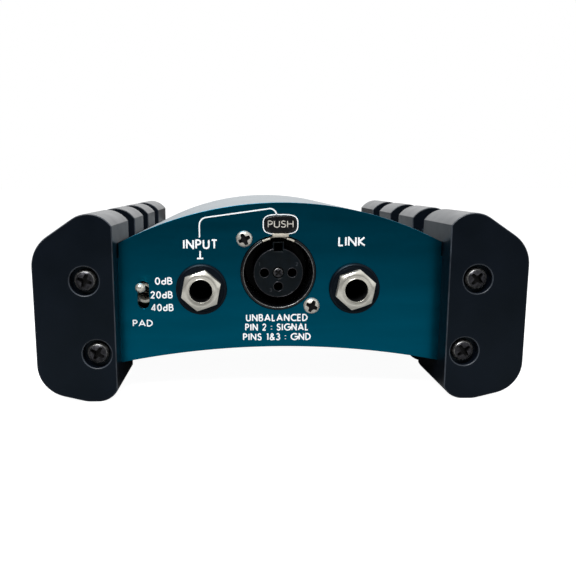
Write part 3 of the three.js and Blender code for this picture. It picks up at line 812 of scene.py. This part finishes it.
# The latch plate fills the gap of the collar. Its tongue and two shoulders reach the front.
LATCH_INNER, LATCH_OUTER = 10.05, 10.55
LATCH_ENDS = (63.5, 116.5)  # degrees
SHOULDER = 13  # degrees
LATCH_FRONT, LATCH_BACK = -0.9, 8
tongue_sides = (TONGUE_X - TONGUE, TONGUE_X + TONGUE)


def latch_outline():
    left, right = tongue_sides
    first, last = LATCH_ENDS
    start, end = (math.degrees(math.acos(side / LATCH_OUTER)) for side in (right, left))
    return [
        *arc(0, 0, LATCH_OUTER, first, start, 6),
        (right, 11.3),
        (left, 11.3),
        *arc(0, 0, LATCH_OUTER, end, last, 6),
        *arc(0, 0, LATCH_INNER, last, first, 16),
    ]


tongue = rectangle(TONGUE_X, 11, 2 * TONGUE, 0.9, 0.15, 3)
latch = slab(tongue, front=LATCH_FRONT, back=LATCH_BACK, edge=0.12)
for start in (LATCH_ENDS[0], LATCH_ENDS[1] - SHOULDER):
    end = start + SHOULDER
    shoulder = arc(0, 0, LATCH_OUTER, start, end, 6) + arc(0, 0, LATCH_INNER, end, start, 6)
    latch.join(slab(shoulder, front=LATCH_FRONT, back=LATCH_BACK, edge=0.1))
latch.join(slab(latch_outline(), front=2.2, back=LATCH_BACK, edge=0.1))
latch.join(bar(tongue_sides, (5, 6.2), (10.2, 16), 0.15))
piece(
    "input_xlr_latch_plate", latch, LATCH_STEEL, "input_xlr_latch", in_xlr,
    "xlr_latch", bevel=0.06,
)

for prefix in ("input_xlr", "output_xlr"):
    for i in (1, 2):
        node = f"{prefix}_screw_{i}"
        head = screw_head(2.4, 1.4, turn=15 + 50 * i, arm=0.74, half=0.24)
        look = [BRIGHT_STEEL, RECESS_SHADE, BRIGHT_STEEL]
        piece(f"{node}_head", head, look, node, spot(node))


# ---- Jacks ----
JACK_BORE = 3.3
NUT_FRONT, NUT_BACK = -4, -1.3
NUT_HALF_FLAT = 5.25
NUT_TURN = 11  # degrees, as the photograph shows it
WASHER_SEAT = -0.1


def nut(front, back, bore, half_flat):
    """A hexagon nut with a coned front face and a countersunk bore."""
    steps = 96
    angles = [2 * math.pi * i / steps for i in range(steps)]

    def ring(radius, y):
        return [(radius * math.cos(a), y, radius * math.sin(a)) for a in angles]

    def hexagon(y):
        points = []
        for a in angles:
            radius = half_flat / math.cos((a + math.pi / 6) % (math.pi / 3) - math.pi / 6)
            points.append((radius * math.cos(a), y(radius), radius * math.sin(a)))
        return points

    def cone(radius):
        return front + 0.32 + max(0.0, radius - half_flat + 0.15) * 0.62

    rings = [
        ring(bore, back),
        ring(bore, front + 0.2),
        ring(bore + 0.04, front + 0.06),
        ring(bore + 0.12, front),
        ring(bore + 0.2, front + 0.02),
        ring(bore + 0.26, front + 0.2),
        ring(bore + 0.5, front + 0.16),
        ring(bore + 0.9, front + 0.05),
        ring(bore + 1.2, front + 0.07),
        ring(half_flat - 0.4, front + 0.18),
        ring(half_flat - 0.15, front + 0.32),
        hexagon(cone),
        hexagon(lambda radius: back),
        ring(bore, back),
    ]
    return Shape().skin(rings)


for name in ("input_jack", "link_jack"):
    place = spot(f"{name}_bush")
    # Finish 1 of the nut and bush paints shade inside the bore.
    look = [NICKEL, RECESS_SHADE]
    front = WASHER_SEAT - 1.0
    edge = [(6.75 + 0.75 * math.sin(a), front + 0.75 * (1 - math.cos(a))) for a in quarter(6)]
    groove = [(6.5, front), (6.58, front + 0.08), (6.67, front)]
    seat = [(7.5, WASHER_SEAT), (4.9, WASHER_SEAT)]
    washer = turned([seat[1], (4.9, front), *groove, *edge, *seat], 96)
    node = f"{name}_washer"
    piece(f"{node}_ring", washer, RUBBER, node, place)
    shape = nut(NUT_FRONT, NUT_BACK, JACK_BORE, NUT_HALF_FLAT)
    shape = Shape().join(shape, Matrix.Rotation(math.radians(NUT_TURN), 4, "Y"))
    shape = paint_bore_shade(shape, JACK_BORE + 0.03)
    piece(f"{name}_hex_nut", shape, look, f"{name}_nut", place, sharp=30, bevel=0.07)
    bush = paint_bore_shade(turned(tube(JACK_BORE, 4.5, -2.9, 9)), JACK_BORE + 0.03)
    piece(f"{name}_threaded_bush", bush, look, f"{name}_bush", place)


# ---- Toggle switches ----
PIVOT = 8
LEVER_LENGTH = 13.6
LEAN = 12.5  # degrees from the panel's normal, at rest
TIP_RADIUS = 1.4
ROOT_RADIUS = 1.2


def lever():
    """A lever along Y with its pivot at the origin and its ball tip at -Y."""
    tip = arc(0, -LEVER_LENGTH, TIP_RADIUS, -90, 60, 15)
    root = arc(0, 0, ROOT_RADIUS, -50, 90, 10)
    neck = [(0.62, -LEVER_LENGTH + 1.9), (0.62, -4.5), (0.7, -1.2)]
    return turned(tip + neck + root, 40)


for kind, up in (("pad", 1), ("ground", -1), ("power", 1)):
    prefix = f"{kind}_switch"
    place = spot(f"{prefix}_body")
    mouth = [(2.0, 3.25), (2.12, 3.1), (2.85, 3.1), (3.2, 3.5)]
    bushing = turned(mouth + [(3.2, 9.5), (1.7, 9.5), (1.7, 7), (2.0, 3.25)])
    piece(f"{prefix}_collar", bushing, NICKEL, f"{prefix}_bushing", place)
    pivot = place @ Matrix.Translation((0, PIVOT, 0))
    swing = pivot @ Matrix.Rotation(math.radians(-LEAN * up), 4, "X")
    piece(f"{prefix}_bat", lever(), NICKEL, f"{prefix}_lever", swing, f"{kind}_lever")


# ---- Output panel parts ----
out_xlr = spot("output_xlr_insert")
cup = collar(9.4, -1.2, 17)
cup.join(slab(rectangle(0, 0, 26, 21.4, 2), [FLANGE_HOLE], *FLANGE))
piece("output_xlr_cup", cup, BLACK_STEEL, "output_xlr_shell", out_xlr)
PINS = [middle(f"output_xlr_pin_{i}") - OUT_XLR for i in (1, 2, 3)]
pin_holes = [circle(-p.x, p.z, 1.35, 32) for p in PINS]
base = slab(circle(0, 0, 9.1, 64), pin_holes, 13, 17, edge=0.3)
piece("output_xlr_base", base, BLACK_PLASTIC, "output_xlr_insert", out_xlr)
pin_tip = [(1.2 * math.sin(a), 0.6 + 1.6 * (1 - math.cos(a))) for a in quarter(8)]
for i in (1, 2, 3):
    pin = turned(pin_tip + [(1.2, 17.5), (0.5, 17.5), (0.5, 22), (0, 22)], 40)
    node = f"output_xlr_pin_{i}"
    piece(f"{node}_gold", pin, GOLD, node, spot(node))

dome = [(2.4 * math.sin(a), 0.6 - 2.4 * math.cos(a)) for a in quarter(10)]
lens = turned(dome + [(2.4, 1.8), (3, 1.8), (3, 2.8), (0, 2.8)], 48)
piece("power_lamp", lens, RED_LENS, "power_led", spot("power_led"))

# The battery drawer: a face plate with a grip, and a tray that is open above.
WIDTH, HEIGHT, DEPTH, WALL = 31.4, 20.2, 54, 1.3
DRAWER_AXIS = 34.3  # its height on the panel
w, h = WIDTH / 2, HEIGHT / 2
drawer_face = rectangle(0, 0, WIDTH + 3, HEIGHT + 3, 2, 8)
drawer = slab(drawer_face, front=-2.2, back=-0.3, edge=0.6, back_edge=0.2)
drawer.join(bar((-8, 8), (-4.2, -2), (-1, 1), 0.5))
drawer.join(bar((-w, w), (-0.4, 1.2), (-h, h), 0.2))
drawer.join(bar((-w, w), (0.8, DEPTH), (-h, -h + WALL), 0.2))
for side in (-1, 1):
    drawer.join(bar(sorted((side * w, side * (w - WALL))), (0.8, DEPTH), (-h, h), 0.2))
    drawer.join(bar(sorted((side * w, side * 11)), (DEPTH - WALL, DEPTH), (-h, h), 0.2))
place = Matrix.Translation((0, 0, DRAWER_AXIS - DRAWER.z)) @ spot("battery_drawer")
node = "battery_drawer"
piece("battery_tray", drawer, BLACK_PLASTIC, node, place, node)


# ---- Lettering ----
def curve(x, z, wide, high, start, end, steps=14):
    """Part of an ellipse, as one stroke of a letter."""
    return [(x + wide * c, z + high * s) for c, s in arc(0, 0, 1, start, end, steps)]


# Each letter is its width and its strokes, on a line one unit high.
LETTERS = {
    "A": (0.78, [[(0, 0), (0.39, 1), (0.78, 0)], [(0.15, 0.3), (0.63, 0.3)]]),
    "B": (0.5, [
        [(0, 0), (0, 1), *curve(0.22, 0.77, 0.22, 0.23, 90, -90), (0, 0.54)],
        [(0, 0.54), *curve(0.24, 0.27, 0.26, 0.27, 90, -90), (0, 0)],
    ]),
    "C": (0.66, [curve(0.5, 0.5, 0.5, 0.5, 52, 308, 20)]),
    "D": (0.62, [[(0, 0), (0, 1), *curve(0.14, 0.5, 0.48, 0.5, 90, -90), (0, 0)]]),
    "E": (0.42, [[(0.42, 1), (0, 1), (0, 0), (0.42, 0)], [(0, 0.52), (0.4, 0.52)]]),
    "F": (0.4, [[(0.4, 1), (0, 1), (0, 0)], [(0, 0.52), (0.36, 0.52)]]),
    "G": (0.84, [[*curve(0.5, 0.5, 0.5, 0.5, 48, 360, 24), (0.52, 0.5)]]),
    "H": (0.6, [[(0, 0), (0, 1)], [(0.6, 0), (0.6, 1)], [(0, 0.53), (0.6, 0.53)]]),
    "I": (0.0, [[(0, 0), (0, 1)]]),
    "K": (0.56, [[(0, 0), (0, 1)], [(0.52, 1), (0.04, 0.48), (0.56, 0)]]),
    "L": (0.36, [[(0, 1), (0, 0), (0.36, 0)]]),
    "N": (0.66, [[(0, 0), (0, 1), (0.66, 0), (0.66, 1)]]),
    "O": (0.92, [curve(0.46, 0.5, 0.46, 0.5, 0, 360, 28)]),
    "P": (0.46, [[(0, 0), (0, 1), *curve(0.2, 0.73, 0.26, 0.27, 90, -90), (0, 0.46)]]),
    "R": (0.5, [
        [(0, 0), (0, 1), *curve(0.2, 0.74, 0.25, 0.26, 90, -90), (0, 0.48)],
        [(0.18, 0.48), (0.5, 0)],
    ]),
    "S": (0.46, [
        curve(0.23, 0.76, 0.2, 0.24, 25, 230, 12) + curve(0.22, 0.26, 0.23, 0.26, 62, -160, 14),
    ]),
    "T": (0.52, [[(0, 1), (0.52, 1)], [(0.26, 1), (0.26, 0)]]),
    "U": (0.56, [[(0, 1), (0, 0.3), *curve(0.28, 0.29, 0.28, 0.29, 180, 360), (0.56, 1)]]),
    "V": (0.7, [[(0, 1), (0.35, 0), (0.7, 1)]]),
    "W": (1.1, [[(0, 1), (0.28, 0), (0.55, 1), (0.82, 0), (1.1, 1)]]),
    "X": (0.62, [[(0, 0), (0.62, 1)], [(0, 1), (0.62, 0)]]),
    "Y": (0.62, [[(0, 1), (0.31, 0.5), (0.62, 1)], [(0.31, 0.5), (0.31, 0)]]),
    "d": (0.48, [curve(0.24, 0.28, 0.24, 0.28, 0, 360, 22), [(0.48, 0), (0.48, 1)]]),
    "0": (0.5, [curve(0.25, 0.5, 0.25, 0.5, 0, 360, 24)]),
    "1": (0.14, [[(0, 0.92), (0.14, 1), (0.14, 0)]]),
    "2": (0.46, [[*curve(0.22, 0.74, 0.22, 0.26, 170, -35, 12), (0, 0), (0.46, 0)]]),
    "3": (0.44, [
        curve(0.2, 0.77, 0.19, 0.23, 150, -80, 12) + curve(0.2, 0.27, 0.24, 0.27, 80, -150, 14),
    ]),
    "4": (0.52, [[(0.52, 0.24), (0, 0.24), (0.4, 1), (0.4, 0)]]),
    "9": (0.46, [[*curve(0.23, 0.72, 0.23, 0.28, 0, 360, 20)], [(0.43, 0.6), (0.14, 0)]]),
    "&": (0.62, [[
        (0.62, 0), (0.16, 0.66), *curve(0.29, 0.81, 0.15, 0.19, 200, -20, 10),
        (0.08, 0.4), *curve(0.24, 0.24, 0.22, 0.24, 150, 320, 10), (0.6, 0.42),
    ]]),
    ":": (0.0, [[(0, 0.12), (0, 0.2)], [(0, 0.62), (0, 0.7)]]),
    " ": (0.2, []),
}


def strokes_of(text, centre, base, height, width, weight):
    """The centre lines of a word that fills width, and stands height above base."""
    scale = height - weight
    space = 0.13 * height
    spare = width - len(text) * weight - (len(text) - 1) * space
    wide = spare / (sum(LETTERS[c][0] for c in text) or 1)
    lines, x = [], centre - width / 2
    for c in text:
        letter_width, strokes = LETTERS[c]
        left, foot = x + weight / 2, base + weight / 2
        for stroke in strokes:
            lines.append([(left + px * wide, foot + pz * scale) for px, pz in stroke])
        x += letter_width * wide + weight + space
    return lines


def ink(lines, weight, front, back):
    """Strokes of one weight, joined into raised lettering from y = back to y = front."""
    points, faces = [], []

    def polygon(loop):
        faces.append(list(range(len(points), len(points) + len(loop))))
        points.extend(Vector(p) for p in loop)

    for line in lines:
        for a, b in zip(line, line[1:]):
            along = Vector(b) - Vector(a)
            if along.length < CLOSE:
                continue
            side = Vector((-along.y, along.x)).normalized() * weight / 2
            polygon([Vector(a) + side, Vector(a) - side, Vector(b) - side, Vector(b) + side])
        closed = (Vector(line[0]) - Vector(line[-1])).length < CLOSE
        for p in line if closed else line[1:-1]:
            polygon(circle(*p, weight / 2, 12))
    verts, _, made, _, _, origins = delaunay_2d_cdt(points, [], faces, 1, CLOSE)
    kept = [tuple(face) for face, origin in zip(made, origins) if len(origin)]
    used = {}
    for face in kept:
        for a, b in zip(face, face[1:] + face[:1]):
            used.setdefault(frozenset((a, b)), []).append((a, b))
    count = len(verts)
    walls = [(a, b, b + count, a + count) for (a, b), *more in used.values() if not more]
    shape = Shape()
    shape.add([(v.x, front, v.y) for v in verts] + [(v.x, back, v.y) for v in verts], kept + walls)
    return shape


def legend(words, weight_share=0.17, front=-0.05, back=0.1):
    """Raised words, each (text, centre, foot, height, width), with strokes a share of its height wide."""
    shape = Shape()
    for text, centre, base, height, width in words:
        weight = height * weight_share
        shape.join(ink(strokes_of(text, centre, base, height, width, weight), weight, front, back))
    return shape


input_words = legend([
    ("INPUT", -23.4, 43.5, 2.85, 10.0),
    ("LINK", 20.7, 44.15, 2.85, 8.0),
    ("0dB", -34.25, 33.1, 2.2, 5.1),
    ("20dB", -34.95, 29.0, 2.2, 6.5),
    ("40dB", -34.85, 25.2, 2.2, 6.6),
    ("PAD", -40.7, 20.6, 2.1, 5.9),
    ("UNBALANCED", -1.1, 21.95, 2.2, 18.3),
    ("PIN 2 : SIGNAL", -1.1, 19.1, 2.2, 18.8),
    ("PINS 1&3 : GND", -1.05, 16.15, 2.2, 20.2),
])
# A white line leads from the input's words to the push tab, and a ring goes round the tab.
lead = [(-23.6, 46.9, 0), (-23.6, 52.4, 2.2), (-1.75, 55.35, 1.9), (-1.3, 53.3, 0)]
lead = rounded(lead, 8, closed=False)
ring = pillow(TAB.x, TAB.z, TAB_SIZE[0] + 0.76, TAB_SIZE[1] + 0.86)
ring_edges = inset(ring, -0.15), [inset(ring, 0.15)]
tee = [[(-23.5, 42.95), (-23.5, 40.95)], [(-24.4, 40.8), (-22.6, 40.8)]]
input_words.join(ink([lead], 0.38, -0.04, 0.1))
input_words.join(slab(*ring_edges, front=-0.04, back=0.1, edge=0, hole_edge=0))
input_words.join(ink(tee, 0.45, -0.05, 0.1))
piece("input_panel_legend", input_words, INK, place=INPUT_SIDE)
push = legend([("PUSH", TAB.x, TAB.z - 0.95, 2.1, 7.45)], 0.14, -0.44, -0.3)
piece("push_tab_legend", push, WORN_INK, place=INPUT_SIDE, body="xlr_latch")
pin_numbers = [("1", -5.6, 2.0, 1.1, 0.45), ("2", 5.4, 2.0, 1.1, 0.7), ("3", -2.2, -5.6, 1.1, 0.7)]
numbers = legend(pin_numbers, 0.16, INSERT_FACE - 0.07, INSERT_FACE + 0.1)
piece("input_xlr_numbers", numbers, BLACK_PLASTIC, place=in_xlr)

output_words = legend([
    ("OUTPUT", -OUT_XLR.x, 47.0, 2.4, 12.0),
    ("LIFT", -GROUND.x, 36.6, 1.7, 4.4),
    ("GND", -GROUND.x, 22.9, 1.7, 4.6),
    ("ON", -POWER.x, 36.6, 1.7, 3.1),
    ("OFF", -POWER.x, 22.9, 1.7, 3.7),
    ("9V BATTERY", -DRAWER.x, 47.6, 2.0, 17.0),
])
piece("output_panel_legend", output_words, INK, place=OUTPUT_SIDE)


# ---- CAD nodes that keep their own shape ----
KEPT = {
    "input_jack_body": BLACK_PLASTIC,
    "link_jack_body": BLACK_PLASTIC,
    "input_jack_tip_spring": BRIGHT_STEEL,
    "link_jack_tip_spring": BRIGHT_STEEL,
    "pad_switch_body": BLACK_PLASTIC,
    "ground_switch_body": BLACK_PLASTIC,
    "power_switch_body": BLACK_PLASTIC,
    "battery": BATTERY_SKIN,
    "battery_bay": BLACK_PLASTIC,
    "battery_contacts": BRIGHT_STEEL,
    "circuit_board": BOARD,
    "transformer_core": CORE,
    "transformer_winding": COPPER,
    "filter_capacitor": SLEEVE,
    "amplifier_chip": BLACK_PLASTIC,
}
for node, look in KEPT.items():
    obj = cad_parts[node]
    obj.data.materials.clear()
    obj.data.materials.append(look)
    soften(obj, 0.15, 50).harden_normals = True


# ---- Floor, light and camera ----
def pale_floor():
    """A plain floor that glows towards the camera only; it reflects less far off, a painted pool of light
    round the box.
    """
    mesh = bpy.data.meshes.new("floor")
    size, depth = 6.0, -5e-5
    corners = [(-size, -size), (size, -size), (size, size), (-size, size)]
    mesh.from_pydata([(*corner, depth) for corner in corners], [], [(0, 1, 2, 3)])
    look = finish(
        "pale_floor", (0.88, 0.88, 0.88, 1), (0.9, 0.9, 0.9, 1), (0.8, 0.9),
        patch=400, grain=3, height=0.01, specular=0.1,
    )
    mesh.materials.append(look)
    tree = look.node_tree
    shader = tree.nodes["Principled BSDF"]
    coords = tree.nodes.new("ShaderNodeTexCoord")
    distance = tree.nodes.new("ShaderNodeVectorMath")
    distance.operation = "LENGTH"
    tree.links.new(coords.outputs["Object"], distance.inputs[0])
    # Reflectance falls from near the box to far off: a painted pool of light.
    near_and_far, reflectance = (0.12, 0.45), (0.3, 0.06)
    fade = map_range(tree, distance.outputs["Value"], near_and_far, reflectance)
    tree.links.new(fade, shader.inputs["Base Color"])  # in place of the finish's own colours
    path = tree.nodes.new("ShaderNodeLightPath")
    glow = tree.nodes.new("ShaderNodeMath")
    glow.operation = "MULTIPLY"
    glow.inputs[1].default_value = 0.96
    tree.links.new(path.outputs["Is Camera Ray"], glow.inputs[0])
    tree.links.new(glow.outputs["Value"], shader.inputs["Emission Strength"])
    shader.inputs["Emission Color"].default_value = (1, 1, 1, 1)
    floor = bpy.data.objects.new("floor", mesh)
    bpy.context.scene.collection.objects.link(floor)


def key_light():
    data = bpy.data.lights.new("key", "AREA")
    data.energy = 6
    data.size = 0.35
    key = bpy.data.objects.new("key", data)
    place, aim = Vector((-0.14, -0.4, 0.55)), Vector((0, -0.05, 0.02))
    turn = (place - aim).to_track_quat("Z", "Y").to_matrix().to_4x4()
    key.matrix_world = Matrix.Translation(place) @ turn
    bpy.context.scene.collection.objects.link(key)


def soft_sky():
    """Soft light from above, from the right and from low behind; the camera sees plain white."""
    world = bpy.data.worlds.new("studio")
    bpy.context.scene.world = world
    world.use_nodes = True
    tree = world.node_tree
    background = tree.nodes["Background"]
    coords = tree.nodes.new("ShaderNodeTexCoord")
    split = tree.nodes.new("ShaderNodeSeparateXYZ")
    tree.links.new(coords.outputs["Generated"], split.inputs["Vector"])

    def ramp(axis, start, end, strength, least=0.02):
        return map_range(tree, split.outputs[axis], (start, end), (least, strength), smooth=True)

    def combined(operation, first, second):
        node = tree.nodes.new("ShaderNodeMath")
        node.operation = operation
        tree.links.new(first, node.inputs[0])
        tree.links.new(second, node.inputs[1])
        return node.outputs["Value"]

    behind = combined("MULTIPLY", ramp("Y", 0.0, 0.5, 1.0), ramp("Z", 0.06, 0.26, 2.1, 0.65))
    light = combined("MAXIMUM", ramp("Z", 0.35, 0.85, 0.9), behind)
    light = combined("MAXIMUM", light, ramp("X", 0.15, 0.9, 1.0))
    path = tree.nodes.new("ShaderNodeLightPath")
    seen = tree.nodes.new("ShaderNodeMix")
    seen.inputs["B"].default_value = 1.0
    tree.links.new(path.outputs["Is Camera Ray"], seen.inputs["Factor"])
    tree.links.new(light, seen.inputs["A"])
    tree.links.new(seen.outputs["Result"], background.inputs["Strength"])
    background.inputs["Color"].default_value = (1, 1, 1, 1)


def camera():
    """A camera at the photograph's place; its angles are in radians."""
    yaw, pitch, roll = 0.0227, 0.164, -0.0018
    place = Vector((-12.38, -242.45, 62.35)) * MM
    forward = Vector((math.sin(yaw), math.cos(yaw), 0))
    across = Vector((math.cos(yaw), -math.sin(yaw), 0))
    up = Vector((0, 0, 1))
    c, s = math.cos(pitch), math.sin(pitch)
    forward, up = forward * c - up * s, up * c + forward * s
    c, s = math.cos(roll), math.sin(roll)
    across, up = across * c + up * s, up * c - across * s
    turn = Matrix((across, up, -forward)).transposed().to_4x4()
    data = bpy.data.cameras.new("camera")
    data.lens = 39.58
    data.sensor_width = 36
    data.shift_x = 0.0612
    data.clip_start = 0.005
    eye = bpy.data.objects.new("camera", data)
    eye.matrix_world = Matrix.Translation(place) @ turn
    bpy.context.scene.collection.objects.link(eye)
    bpy.context.scene.camera = eye


bpy.context.scene.view_settings.view_transform = "Standard"
pale_floor()
key_light()
soft_sky()
camera()
